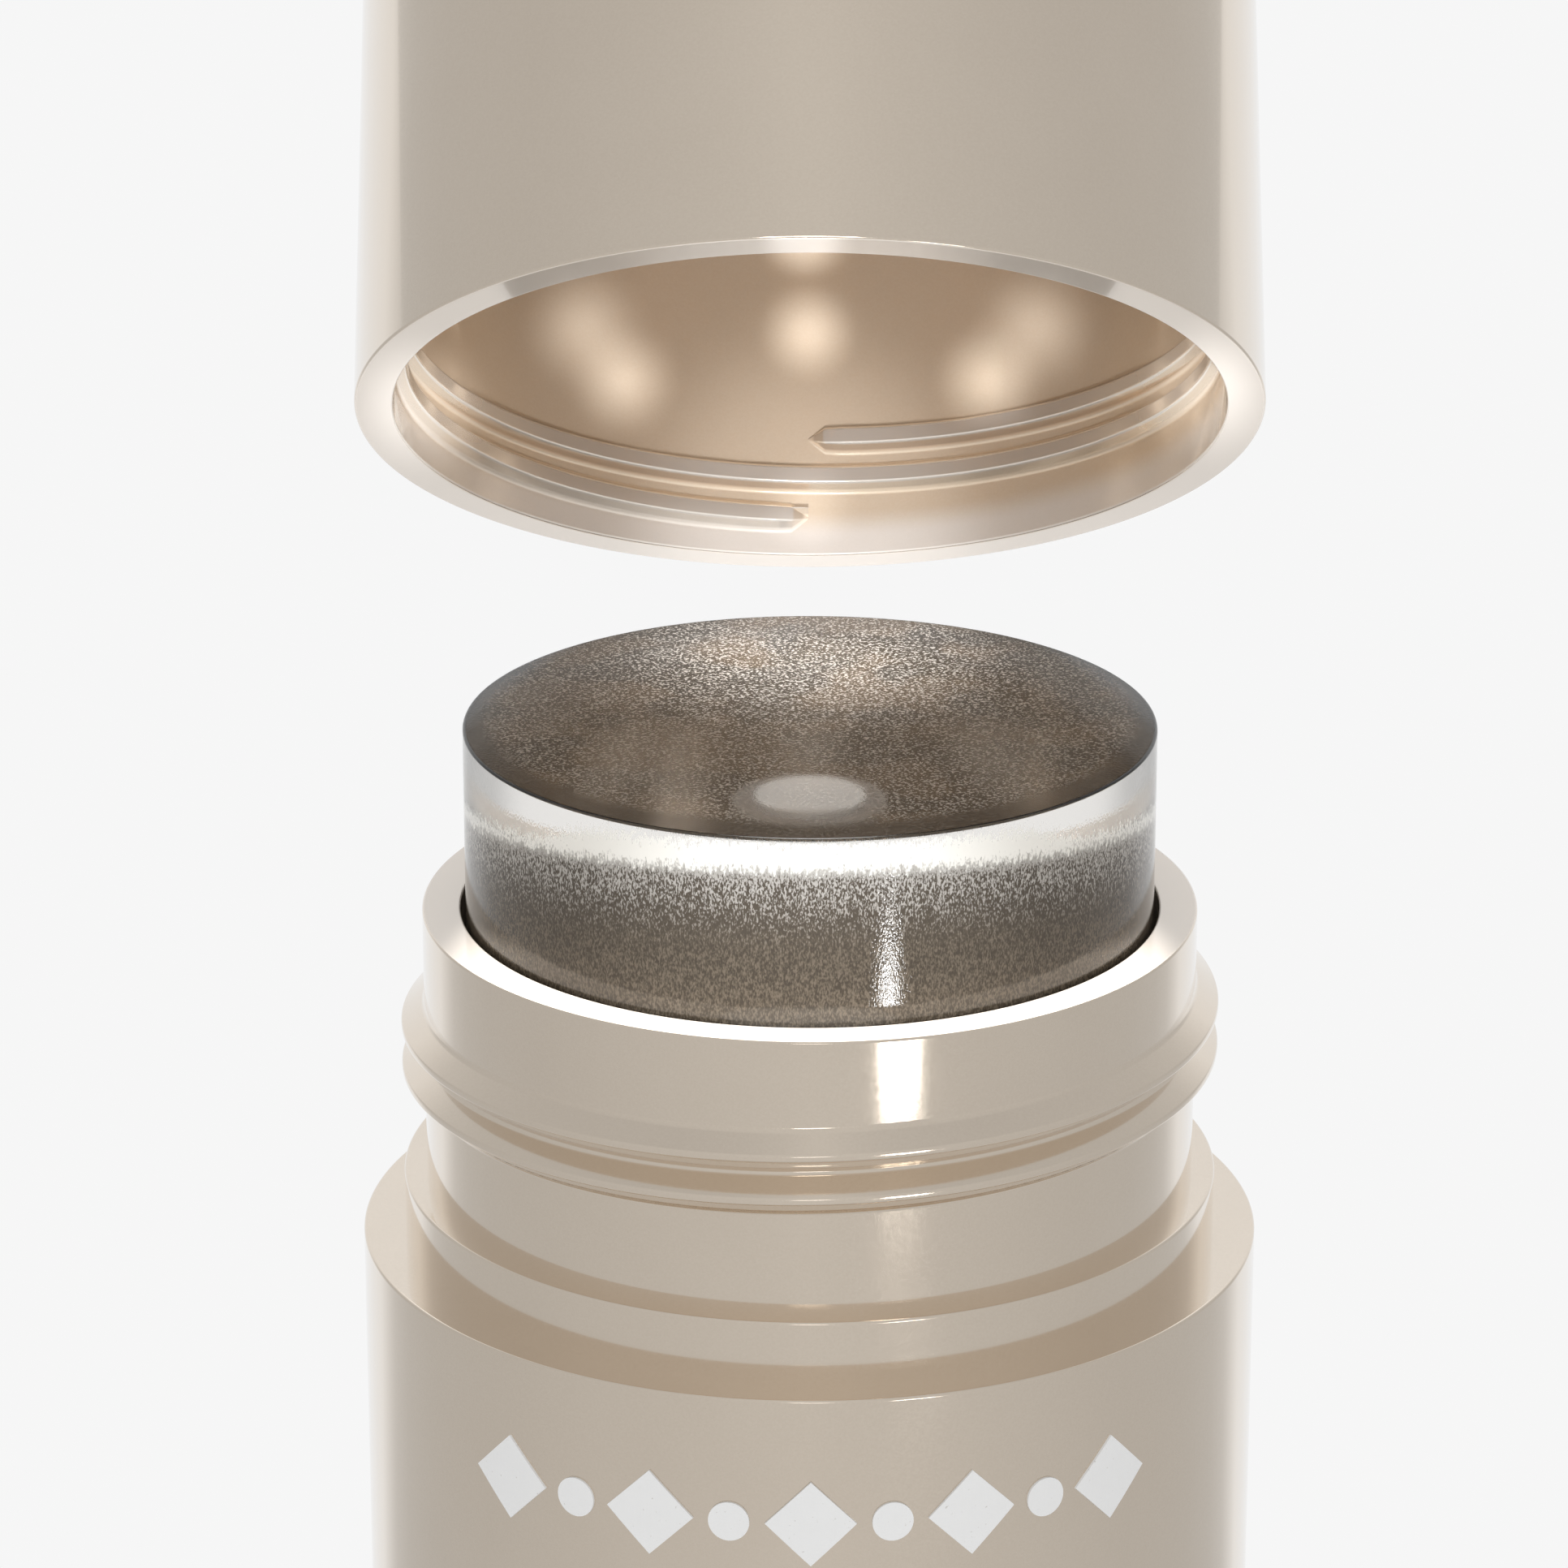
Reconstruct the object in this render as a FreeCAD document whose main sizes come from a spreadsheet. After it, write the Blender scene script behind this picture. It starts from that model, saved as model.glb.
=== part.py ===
import FreeCAD, Part
import math
import os
import Sketcher

# A twist-up deodorant stick with a screw cap, in millimetres. +Z is up, Z = 0 is the face that the
# pack stands on, and the Z axis is the pack's own. The dial at the foot turns a coarse screw, the
# elevator climbs it inside the barrel, and the gel stick rises out of the threaded neck. The cap is
# off, and is held tilted over the stick.

doc = FreeCAD.newDocument("DeodorantStick")

SIZES = (
    # the pack's outside
    ("pack_radius", 22.5, "outside of the sleeve, the dial and the cap"),
    ("shoulder_height", 70.0, "top edge of the outer sleeve"),
    ("edge_round", 0.15, "rounding of the moulded edges"),
    ("sleeve_wall", 2.05, "wall of the outer sleeve"),
    ("sleeve_fit", 0.04, "clearance of the sleeve on the inner barrel"),
    # the inner barrel and its neck
    ("collar_step", 1.14, "collar proud of the neck"),
    ("neck_wall", 1.92, "wall of the neck, between its threads and the stick's bore"),
    ("neck_height", 17.0, "neck rim above the shoulder"),
    ("collar_height", 3.11, "collar above the shoulder"),
    ("collar_depth", 8.0, "upper band inside the sleeve, under the shoulder"),
    ("foot_band_height", 9.6, "lower band inside the sleeve"),
    # the closure's thread, on the neck and in the cap
    ("closure_pitch", 2.2, "rise of the closure's thread in a turn"),
    ("closure_turns", 2.0, "turns of the closure's thread"),
    ("neck_thread_start", 7.21, "thread's lower edge above the shoulder, at the back"),
    ("neck_thread_height", 1.15, "ridge above the neck"),
    ("neck_thread_base", 2.0, "ridge's width at the neck"),
    ("neck_thread_crest", 0.3, "ridge's width at its crest"),
    ("cap_thread_start", 1.32, "thread's lower edge above the rim, at the back"),
    ("cap_thread_height", 0.64, "ridge inside the cap's bore"),
    ("cap_thread_base", 1.55, "ridge's width at the bore"),
    ("cap_thread_crest", 0.8, "ridge's width at its crest"),
    ("thread_root", 0.3, "how deep a ridge is rooted in its wall"),
    # the cap
    ("cap_wall", 1.91, "wall of the cap"),
    ("cap_length", 40.0, "cap from rim to closed end"),
    ("crown_wall", 2.5, "closed end of the cap"),
    ("crown_round", 0.8, "rounding of the closed end"),
    ("cap_tilt", 37.115, "degrees that the cap leans back"),
    ("cap_rim_back", 5.92, "centre of the cap's rim behind the pack's axis"),
    ("cap_rim_lift", 40.38, "centre of the cap's rim above the shoulder"),
    # the gel stick
    ("stick_gap", 0.23, "clearance of the stick and the elevator in the bore"),
    ("stick_length", 66.3, "gel stick, from the elevator's seat to its top"),
    ("stick_show", 9.34, "stick's top above the neck rim"),
    ("stick_wound", 10.0, "how far the stick has been wound up from its lowest place"),
    ("stick_travel", 50.0, "whole travel of the elevator"),
    ("stick_round", 0.15, "rounding of the stick's top edge"),
    # the elevator
    ("cup_wall", 0.9, "wall of the cup round the stick's foot"),
    ("cup_depth", 6.0, "depth of that cup"),
    ("platform_thickness", 1.5, "floor of the cup"),
    ("nut_radius", 6.0, "outside of the nut"),
    ("nut_rise", 8.0, "nut above the cup's floor"),
    ("key_count", 4.0, "keys round the elevator"),
    ("key_width", 2.8, "key across"),
    ("keyway_depth", 0.8, "keyway cut into the bore's wall"),
    ("key_side_gap", 0.2, "clearance beside a key"),
    ("key_end_gap", 0.15, "clearance over a key"),
    ("keyway_spare", 0.5, "keyway past the top of the travel"),
    # the spindle
    ("screw_radius", 3.75, "crest of the coarse screw"),
    ("screw_lead", 4.0, "rise of the coarse screw in a turn"),
    ("screw_depth", 0.9, "ridge of the coarse screw"),
    ("screw_base", 2.2, "ridge's width at its root"),
    ("screw_crest", 1.0, "ridge's width at its crest"),
    ("screw_gap", 0.12, "clearance all round the screw in the nut"),
    ("spindle_top", 72.7, "tip of the spindle"),
    ("tip_radius", 2.65, "plain tip of the spindle"),
    ("tip_length", 1.0, "plain tip of the spindle"),
    ("hollow_gap", 0.1, "clearance of the spindle in the stick's hollow"),
    ("hollow_end_gap", 0.3, "clearance over the tip with the stick right down"),
    ("journal_radius", 3.0, "spindle in its bearing"),
    ("bearing_gap", 0.08, "radial clearance of the bearing"),
    ("flange_radius", 5.0, "flange over the bearing"),
    ("flange_thickness", 1.2, "flange over the bearing"),
    ("flange_gap", 0.15, "end play under the flange"),
    ("square_width", 4.2, "square end in the dial"),
    # the plug that closes the barrel's foot
    ("plug_floor", 3.0, "floor of the plug"),
    ("plug_skirt", 4.0, "skirt above the floor"),
    ("plug_wall", 1.5, "skirt's wall"),
    ("boss_radius", 6.0, "bearing boss"),
    ("boss_height", 3.0, "bearing boss above the floor"),
    # the twist dial
    ("dial_height", 10.0, "dial from its foot to the parting line"),
    ("parting_gap", 0.4, "gap between the dial and the sleeve"),
    ("dial_wall", 1.2, "wall and floor of the dial's shell"),
    ("dial_foot_round", 0.6, "rounding of the foot's edge"),
    ("core_plate", 1.8, "plate of the dial's core"),
    ("core_wall", 1.5, "rim of the dial's core"),
    ("core_set_back", 1.0, "core's rim below the shell's top edge"),
    ("hub_radius", 6.0, "hub of the dial's core"),
    ("hub_gap", 0.3, "gap between the hub and the barrel's foot"),
    # the print on the sleeve
    ("mark_count", 9.0, "marks in the row, lozenges and dots in turn"),
    ("mark_spacing", 3.93, "from one mark to the next, round the sleeve"),
    ("mark_drop", 6.4, "row's middle below the shoulder"),
    ("mark_reach", 2.2, "half a lozenge's height and width"),
    ("dot_radius", 1.0, "dot"),
    ("ink_height", 0.12, "raised ink on the sleeve"),
)

sizes = doc.addObject("Spreadsheet::Sheet", "Sizes")
for row, (alias, number, meaning) in enumerate(SIZES, 1):
    sizes.set(f"A{row}", meaning)
    sizes.set(f"B{row}", str(number))
    sizes.setAlias(f"B{row}", alias)
doc.recompute()

# Heights and radii that several pieces share, as expressions on the sheet.
S = "Sizes."
COLLAR_RADIUS = "(Sizes.pack_radius - Sizes.sleeve_wall - Sizes.sleeve_fit)"
NECK_RADIUS = f"({COLLAR_RADIUS} - Sizes.collar_step)"
BORE_RADIUS = f"({NECK_RADIUS} - Sizes.neck_wall)"
STICK_RADIUS = f"({BORE_RADIUS} - Sizes.stick_gap)"
COLLAR_TOP = "(Sizes.shoulder_height + Sizes.collar_height)"
NECK_TOP = "(Sizes.shoulder_height + Sizes.neck_height)"
BARREL_FOOT = "(Sizes.dial_height + Sizes.parting_gap)"
STICK_TOP = f"({NECK_TOP} + Sizes.stick_show)"
STICK_SEAT = f"({STICK_TOP} - Sizes.stick_length)"
PLATFORM_UNDER = f"({STICK_SEAT} - Sizes.platform_thickness)"
NUT_TOP = f"({STICK_SEAT} + Sizes.nut_rise)"
CUP_BORE = f"({STICK_RADIUS} - Sizes.cup_wall)"
BOSS_TOP = f"({BARREL_FOOT} + Sizes.plug_floor + Sizes.boss_height)"
FLANGE_UNDER = f"({BOSS_TOP} + Sizes.flange_gap)"
FLANGE_TOP = f"({FLANGE_UNDER} + Sizes.flange_thickness)"
HUB_TOP = f"({BARREL_FOOT} - Sizes.hub_gap)"
CORE_UNDER = "(Sizes.dial_wall)"
CORE_TOP = f"({CORE_UNDER} + Sizes.core_plate)"
CAP_BORE = "(Sizes.pack_radius - Sizes.cap_wall)"
AXIS = "0"


def value(expression):
    """What an expression on the sheet comes to."""
    return float(sizes.evalExpression(expression))


def new_body(name):
    return doc.addObject("PartDesign::Body", name)


def origin_feature(body, role):
    return next(feature for feature in body.Origin.OriginFeatures if feature.Role == role)


def new_sketch(body, name, plane, lift=None):
    """Sketch on one of the body's own planes, raised by an expression."""
    sketch = body.newObject("Sketcher::SketchObject", name)
    sketch.AttachmentSupport = [(origin_feature(body, plane), "")]
    sketch.MapMode = "FlatFace"
    if lift:
        sketch.setExpression("AttachmentOffset.Base.z", lift)
    return sketch


def draw_outline(sketch, corners):
    """Closed outline of straight sides, each corner a pair of expressions: across and up."""
    start = sketch.GeometryCount
    points = [FreeCAD.Vector(value(across), value(up), 0) for across, up in corners]
    for here, there in zip(points, points[1:] + points[:1]):
        sketch.addGeometry(Part.LineSegment(here, there))
    for index, corner in enumerate(corners):
        line = start + index
        following = start + (index + 1) % len(corners)
        sketch.addConstraint(Sketcher.Constraint("Coincident", line, 2, following, 1))
        for kind, expression in zip(("DistanceX", "DistanceY"), corner):
            number = value(expression)
            constraint = sketch.addConstraint(Sketcher.Constraint(kind, -1, 1, line, 1, number))
            name = f"{kind}_{line}"
            sketch.renameConstraint(constraint, name)
            sketch.setExpression(f"Constraints.{name}", expression)


def revolve(body, name, corners):
    """Turned body: an outline of radius and height, once round the Z axis."""
    sketch = new_sketch(body, f"{name}_section", "XZ_Plane")
    draw_outline(sketch, corners)
    turned = body.newObject("PartDesign::Revolution", name)
    turned.Profile = sketch
    turned.ReferenceAxis = (origin_feature(body, "Z_Axis"), [""])
    turned.Angle = 360
    doc.recompute()
    return turned


def wind(body, kind, name, corners, pitch, turns):
    """Right-hand ridge or groove: an outline at the back of the Z axis, wound up the axis."""
    sketch = new_sketch(body, f"{name}_section", "YZ_Plane")
    draw_outline(sketch, corners)
    helix = body.newObject(f"PartDesign::{kind}", name)
    helix.Profile = sketch
    helix.ReferenceAxis = (origin_feature(body, "Z_Axis"), [""])
    helix.Mode = "pitch-turns-angle"
    helix.Angle = 0
    helix.Growth = 0
    helix.setExpression("Pitch", pitch)
    helix.setExpression("Turns", turns)
    doc.recompute()
    return helix


def ridge_outline(root, crest, start, base, top):
    """Section of a thread ridge: root and crest radii, then its lower edge and its two widths."""
    slope = f"(({base} - {top}) / 2)"
    return (
        (root, start),
        (crest, f"{start} + {slope}"),
        (crest, f"{start} + {slope} + {top}"),
        (root, f"{start} + {base}"),
    )


def rooted_ridge(root, wall, crest, start, base, top):
    """The same section with its root sunk squarely into the wall that carries it."""
    low, crest_low, crest_high, high = ridge_outline(wall, crest, start, base, top)
    return (root, low[1]), low, crest_low, crest_high, high, (root, high[1])


def round_edges(body, name, size, rings):
    """Fillet on the round edges that lie at the given radii and heights."""
    feature = body.Tip
    places = [(value(radius), value(height)) for radius, height in rings]
    names = []
    for index, edge in enumerate(feature.Shape.Edges, 1):
        if not isinstance(edge.Curve, Part.Circle):
            continue
        ring = (edge.Curve.Radius, edge.Curve.Center.z)
        if any(abs(ring[0] - r) < 1e-4 and abs(ring[1] - z) < 1e-4 for r, z in places):
            names.append(f"Edge{index}")
    fillet = body.newObject("PartDesign::Fillet", name)
    fillet.Base = (feature, names)
    fillet.setExpression("Radius", size)
    doc.recompute()
    return fillet


def repeat_round(body, feature, name, count):
    """The feature again, evenly round the Z axis."""
    pattern = body.newObject("PartDesign::PolarPattern", name)
    pattern.Originals = [feature]
    pattern.Axis = (origin_feature(body, "Z_Axis"), [""])
    pattern.Angle = 360
    pattern.setExpression("Occurrences", count)
    body.Tip = pattern
    doc.recompute()
    return pattern


def box_outline(half_across, near, far):
    """Rectangle on the XY plane, centred on the X axis, from one distance out to another."""
    return (
        (near, f"-({half_across})"),
        (far, f"-({half_across})"),
        (far, half_across),
        (near, half_across),
    )


def make_inner_barrel():
    """Threaded neck, collar and bore in one moulding, with keyways for the elevator."""
    body = new_body("inner_barrel")
    collar_foot = "(Sizes.shoulder_height - Sizes.collar_depth)"
    foot_band_top = f"({BARREL_FOOT} + Sizes.foot_band_height)"
    revolve(body, "inner_barrel_shell", (
        (BORE_RADIUS, BARREL_FOOT),
        (COLLAR_RADIUS, BARREL_FOOT),
        (COLLAR_RADIUS, foot_band_top),
        (NECK_RADIUS, foot_band_top),
        (NECK_RADIUS, collar_foot),
        (COLLAR_RADIUS, collar_foot),
        (COLLAR_RADIUS, COLLAR_TOP),
        (NECK_RADIUS, COLLAR_TOP),
        (NECK_RADIUS, NECK_TOP),
        (BORE_RADIUS, NECK_TOP),
    ))
    round_edges(body, "inner_barrel_edges", S + "edge_round", (
        (BORE_RADIUS, NECK_TOP),
        (NECK_RADIUS, NECK_TOP),
        (COLLAR_RADIUS, COLLAR_TOP),
    ))
    keyway_wall = f"({BORE_RADIUS} + Sizes.keyway_depth)"
    keyway_top = (f"({STICK_SEAT} - Sizes.stick_wound + Sizes.stick_travel"
                  " + Sizes.cup_depth + Sizes.keyway_spare)")
    sketch = new_sketch(body, "keyway_section", "XY_Plane", BARREL_FOOT)
    draw_outline(sketch, box_outline(
        "(Sizes.key_width / 2 + Sizes.key_side_gap)", f"({BORE_RADIUS} / 2)", keyway_wall))
    keyway = body.newObject("PartDesign::Pocket", "keyway")
    keyway.Profile = sketch
    keyway.Reversed = True
    keyway.setExpression("Length", f"{keyway_top} - {BARREL_FOOT}")
    doc.recompute()
    repeat_round(body, keyway, "keyways", S + "key_count")
    wind(body, "AdditiveHelix", "neck_thread", rooted_ridge(
        f"({NECK_RADIUS} - Sizes.thread_root)",
        NECK_RADIUS,
        f"({NECK_RADIUS} + Sizes.neck_thread_height)",
        "(Sizes.shoulder_height + Sizes.neck_thread_start)",
        S + "neck_thread_base",
        S + "neck_thread_crest",
    ), S + "closure_pitch", S + "closure_turns")
    return body


def make_outer_sleeve():
    """Outer tube, pushed over the inner barrel; its flat top edge is the shoulder."""
    body = new_body("outer_sleeve")
    sleeve_bore = "(Sizes.pack_radius - Sizes.sleeve_wall)"
    revolve(body, "outer_sleeve_tube", (
        (sleeve_bore, BARREL_FOOT),
        (S + "pack_radius", BARREL_FOOT),
        (S + "pack_radius", S + "shoulder_height"),
        (sleeve_bore, S + "shoulder_height"),
    ))
    round_edges(body, "outer_sleeve_edges", S + "edge_round", (
        (S + "pack_radius", S + "shoulder_height"),
        (S + "pack_radius", BARREL_FOOT),
    ))
    return body


def make_base_plug():
    """Floor of the barrel, pressed into its bore, with the spindle's bearing."""
    body = new_body("base_plug")
    floor_top = f"({BARREL_FOOT} + Sizes.plug_floor)"
    skirt_top = f"({floor_top} + Sizes.plug_skirt)"
    skirt_bore = f"({BORE_RADIUS} - Sizes.plug_wall)"
    bearing = "(Sizes.journal_radius + Sizes.bearing_gap)"
    revolve(body, "base_plug_disc", (
        (bearing, BARREL_FOOT),
        (BORE_RADIUS, BARREL_FOOT),
        (BORE_RADIUS, skirt_top),
        (skirt_bore, skirt_top),
        (skirt_bore, floor_top),
        (S + "boss_radius", floor_top),
        (S + "boss_radius", BOSS_TOP),
        (bearing, BOSS_TOP),
    ))
    return body


def make_spindle():
    """Coarse screw with a flange, a journal and the square end that the dial drives."""
    body = new_body("spindle")
    core = "(Sizes.screw_radius - Sizes.screw_depth)"
    tip_foot = "(Sizes.spindle_top - Sizes.tip_length)"
    revolve(body, "spindle_shaft", (
        (AXIS, HUB_TOP),
        (S + "journal_radius", HUB_TOP),
        (S + "journal_radius", FLANGE_UNDER),
        (S + "flange_radius", FLANGE_UNDER),
        (S + "flange_radius", FLANGE_TOP),
        (core, FLANGE_TOP),
        (core, tip_foot),
        (S + "tip_radius", tip_foot),
        (S + "tip_radius", S + "spindle_top"),
        (AXIS, S + "spindle_top"),
    ))
    half_square = "(Sizes.square_width / 2)"
    sketch = new_sketch(body, "square_section", "XY_Plane", CORE_TOP)
    draw_outline(sketch, box_outline(half_square, f"-{half_square}", half_square))
    square = body.newObject("PartDesign::Pad", "square_end")
    square.Profile = sketch
    square.setExpression("Length", f"{HUB_TOP} - {CORE_TOP}")
    doc.recompute()
    turns = f"(({tip_foot} - {FLANGE_TOP} - Sizes.screw_base) / Sizes.screw_lead)"
    wind(body, "AdditiveHelix", "screw_thread", rooted_ridge(
        f"({core} - Sizes.thread_root)", core, S + "screw_radius", FLANGE_TOP,
        S + "screw_base", S + "screw_crest",
    ), S + "screw_lead", turns)
    return body


def make_elevator():
    """Cup under the stick, with the nut in its middle and keys that stop it turning."""
    body = new_body("elevator")
    core = "(Sizes.screw_radius - Sizes.screw_depth)"
    nut_bore = f"({core} + Sizes.screw_gap)"
    cup_rim = f"({STICK_SEAT} + Sizes.cup_depth)"
    revolve(body, "elevator_cup", (
        (nut_bore, PLATFORM_UNDER),
        (STICK_RADIUS, PLATFORM_UNDER),
        (STICK_RADIUS, cup_rim),
        (CUP_BORE, cup_rim),
        (CUP_BORE, STICK_SEAT),
        (S + "nut_radius", STICK_SEAT),
        (S + "nut_radius", NUT_TOP),
        (nut_bore, NUT_TOP),
    ))
    key_end = f"({BORE_RADIUS} + Sizes.keyway_depth - Sizes.key_end_gap)"
    sketch = new_sketch(body, "key_section", "XY_Plane", PLATFORM_UNDER)
    draw_outline(sketch, box_outline("(Sizes.key_width / 2)", CUP_BORE, key_end))
    key = body.newObject("PartDesign::Pad", "key")
    key.Profile = sketch
    key.setExpression("Length", "Sizes.platform_thickness + Sizes.cup_depth")
    doc.recompute()
    repeat_round(body, key, "keys", S + "key_count")
    # The groove has the screw's own section, wider by the clearance, and starts a whole number of
    # turns of the screw under the nut, so that it lies in line with the ridge.
    turns_below = f"floor(({PLATFORM_UNDER} - {FLANGE_TOP}) / Sizes.screw_lead)"
    start = f"({FLANGE_TOP} + {turns_below} * Sizes.screw_lead - Sizes.screw_gap)"
    turns = f"(ceil(({NUT_TOP} - {PLATFORM_UNDER}) / Sizes.screw_lead) + 1)"
    wide_base = "(Sizes.screw_base + 2 * Sizes.screw_gap)"
    wide_crest = "(Sizes.screw_crest + 2 * Sizes.screw_gap)"
    wind(body, "SubtractiveHelix", "nut_thread", rooted_ridge(
        f"({core} - Sizes.thread_root)", nut_bore,
        "(Sizes.screw_radius + Sizes.screw_gap)", start, wide_base, wide_crest,
    ), S + "screw_lead", turns)
    return body


def make_gel_stick():
    """Cast gel stick, its foot in the elevator's cup and a hollow up its middle for the spindle."""
    body = new_body("gel_stick")
    hollow = "(Sizes.screw_radius + Sizes.hollow_gap)"
    tip_hollow = "(Sizes.tip_radius + Sizes.hollow_gap)"
    hollow_top = "(Sizes.spindle_top + Sizes.stick_wound + Sizes.hollow_end_gap)"
    step = f"({hollow_top} - Sizes.tip_length)"
    cup_rim = f"({STICK_SEAT} + Sizes.cup_depth)"
    revolve(body, "gel_body", (
        (S + "nut_radius", STICK_SEAT),
        (CUP_BORE, STICK_SEAT),
        (CUP_BORE, cup_rim),
        (STICK_RADIUS, cup_rim),
        (STICK_RADIUS, STICK_TOP),
        (AXIS, STICK_TOP),
        (AXIS, hollow_top),
        (tip_hollow, hollow_top),
        (tip_hollow, step),
        (hollow, step),
        (hollow, NUT_TOP),
        (S + "nut_radius", NUT_TOP),
    ))
    round_edges(body, "gel_top_edge", S + "stick_round", ((STICK_RADIUS, STICK_TOP),))
    return body


def make_cap():
    """Straight cap, closed at its far end, with a thread in its mouth. Drawn with its rim at Z = 0."""
    body = new_body("cap")
    crown_under = "(Sizes.cap_length - Sizes.crown_wall)"
    revolve(body, "cap_shell", (
        (CAP_BORE, AXIS),
        (S + "pack_radius", AXIS),
        (S + "pack_radius", S + "cap_length"),
        (AXIS, S + "cap_length"),
        (AXIS, crown_under),
        (CAP_BORE, crown_under),
    ))
    round_edges(body, "cap_rim_edges", S + "edge_round", (
        (CAP_BORE, AXIS),
        (S + "pack_radius", AXIS),
    ))
    round_edges(body, "crown_edges", S + "crown_round", (
        (S + "pack_radius", S + "cap_length"),
        (CAP_BORE, crown_under),
    ))
    wind(body, "AdditiveHelix", "cap_thread", rooted_ridge(
        f"({CAP_BORE} + Sizes.thread_root)", CAP_BORE, f"({CAP_BORE} - Sizes.cap_thread_height)",
        S + "cap_thread_start", S + "cap_thread_base", S + "cap_thread_crest",
    ), S + "closure_pitch", S + "closure_turns")
    body.Placement = FreeCAD.Placement(
        FreeCAD.Vector(0, 0, 0), FreeCAD.Rotation(FreeCAD.Vector(-1, 0, 0), value(S + "cap_tilt")))
    body.setExpression("Placement.Rotation.Angle", "Sizes.cap_tilt * 1 deg")
    body.setExpression("Placement.Base.y", S + "cap_rim_back")
    body.setExpression("Placement.Base.z", "Sizes.shoulder_height + Sizes.cap_rim_lift")
    return body


def make_dial_shell():
    """Outer cup of the twist dial, which the pack stands on."""
    body = new_body("dial_shell")
    shell_bore = "(Sizes.pack_radius - Sizes.dial_wall)"
    revolve(body, "dial_cup", (
        (AXIS, AXIS),
        (S + "pack_radius", AXIS),
        (S + "pack_radius", S + "dial_height"),
        (shell_bore, S + "dial_height"),
        (shell_bore, CORE_UNDER),
        (AXIS, CORE_UNDER),
    ))
    round_edges(body, "dial_top_edge", S + "edge_round", ((S + "pack_radius", S + "dial_height"),))
    round_edges(body, "dial_foot_edge", S + "dial_foot_round", ((S + "pack_radius", AXIS),))
    return body


def make_dial_core():
    """Plate, rim and hub inside the dial's shell, pressed on the spindle's square end."""
    body = new_body("dial_core")
    core_radius = "(Sizes.pack_radius - Sizes.dial_wall)"
    rim_bore = f"({core_radius} - Sizes.core_wall)"
    rim_top = "(Sizes.dial_height - Sizes.core_set_back)"
    revolve(body, "dial_core_plate", (
        (AXIS, CORE_UNDER),
        (core_radius, CORE_UNDER),
        (core_radius, rim_top),
        (rim_bore, rim_top),
        (rim_bore, CORE_TOP),
        (S + "hub_radius", CORE_TOP),
        (S + "hub_radius", HUB_TOP),
        (AXIS, HUB_TOP),
    ))
    half_square = "(Sizes.square_width / 2)"
    sketch = new_sketch(body, "socket_section", "XY_Plane", HUB_TOP)
    draw_outline(sketch, box_outline(half_square, f"-{half_square}", half_square))
    socket = body.newObject("PartDesign::Pocket", "socket")
    socket.Profile = sketch
    socket.setExpression("Length", f"{HUB_TOP} - {CORE_TOP}")
    doc.recompute()
    return body


def make_print_marks():
    """Row of raised white marks on the sleeve's front, lozenges and dots in turn."""
    film_outside = doc.addObject("Part::Cylinder", "film_outside")
    film_outside.setExpression("Radius", "Sizes.pack_radius + Sizes.ink_height")
    film_inside = doc.addObject("Part::Cylinder", "film_inside")
    film_inside.setExpression("Radius", S + "pack_radius")
    for cylinder in (film_outside, film_inside):
        cylinder.setExpression("Height", S + "shoulder_height")
    film = doc.addObject("Part::Cut", "ink_film")
    film.Base = film_outside
    film.Tool = film_inside
    stamps = []
    count = round(value(S + "mark_count"))
    middle = (count - 1) / 2
    for index in range(count):
        lozenge = index % 2 == 0
        stamp = doc.addObject("Part::Prism" if lozenge else "Part::Cylinder", f"stamp_{index + 1}")
        if lozenge:
            stamp.Polygon = 4
            stamp.setExpression("Circumradius", S + "mark_reach")
        else:
            stamp.setExpression("Radius", S + "dot_radius")
        stamp.setExpression("Height", "2 * Sizes.pack_radius")
        turn = math.degrees((index - middle) * value("Sizes.mark_spacing / Sizes.pack_radius"))
        lie_forward = FreeCAD.Rotation(FreeCAD.Vector(1, 0, 0), 90)
        around = FreeCAD.Rotation(FreeCAD.Vector(0, 0, 1), turn)
        height = value("Sizes.shoulder_height - Sizes.mark_drop")
        stamp.Placement = FreeCAD.Placement(FreeCAD.Vector(0, 0, height), around * lie_forward)
        stamps.append(stamp)
    row = doc.addObject("Part::Compound", "stamp_row")
    row.Links = stamps
    marks = doc.addObject("Part::Common", "print_marks")
    marks.Base = film
    marks.Tool = row
    return marks


nodes = [
    make_inner_barrel(),
    make_outer_sleeve(),
    make_base_plug(),
    make_spindle(),
    make_elevator(),
    make_gel_stick(),
    make_cap(),
    make_dial_shell(),
    make_dial_core(),
    make_print_marks(),
]
doc.recompute()

for thing in doc.Objects:
    if "Invalid" in thing.State or "Error" in thing.State:
        raise RuntimeError(f"{thing.Label} did not compute: {thing.State}")
for node in nodes:
    if node.Shape.isNull() or not node.Shape.isValid() or not node.Shape.Solids:
        raise RuntimeError(f"{node.Label} has no valid solid")

os.makedirs("parts", exist_ok=True)
for node in nodes:
    node.Shape.exportStep(f"parts/{node.Label}.step")
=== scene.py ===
import math

import bmesh
import bpy
from mathutils import Matrix, Vector


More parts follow.
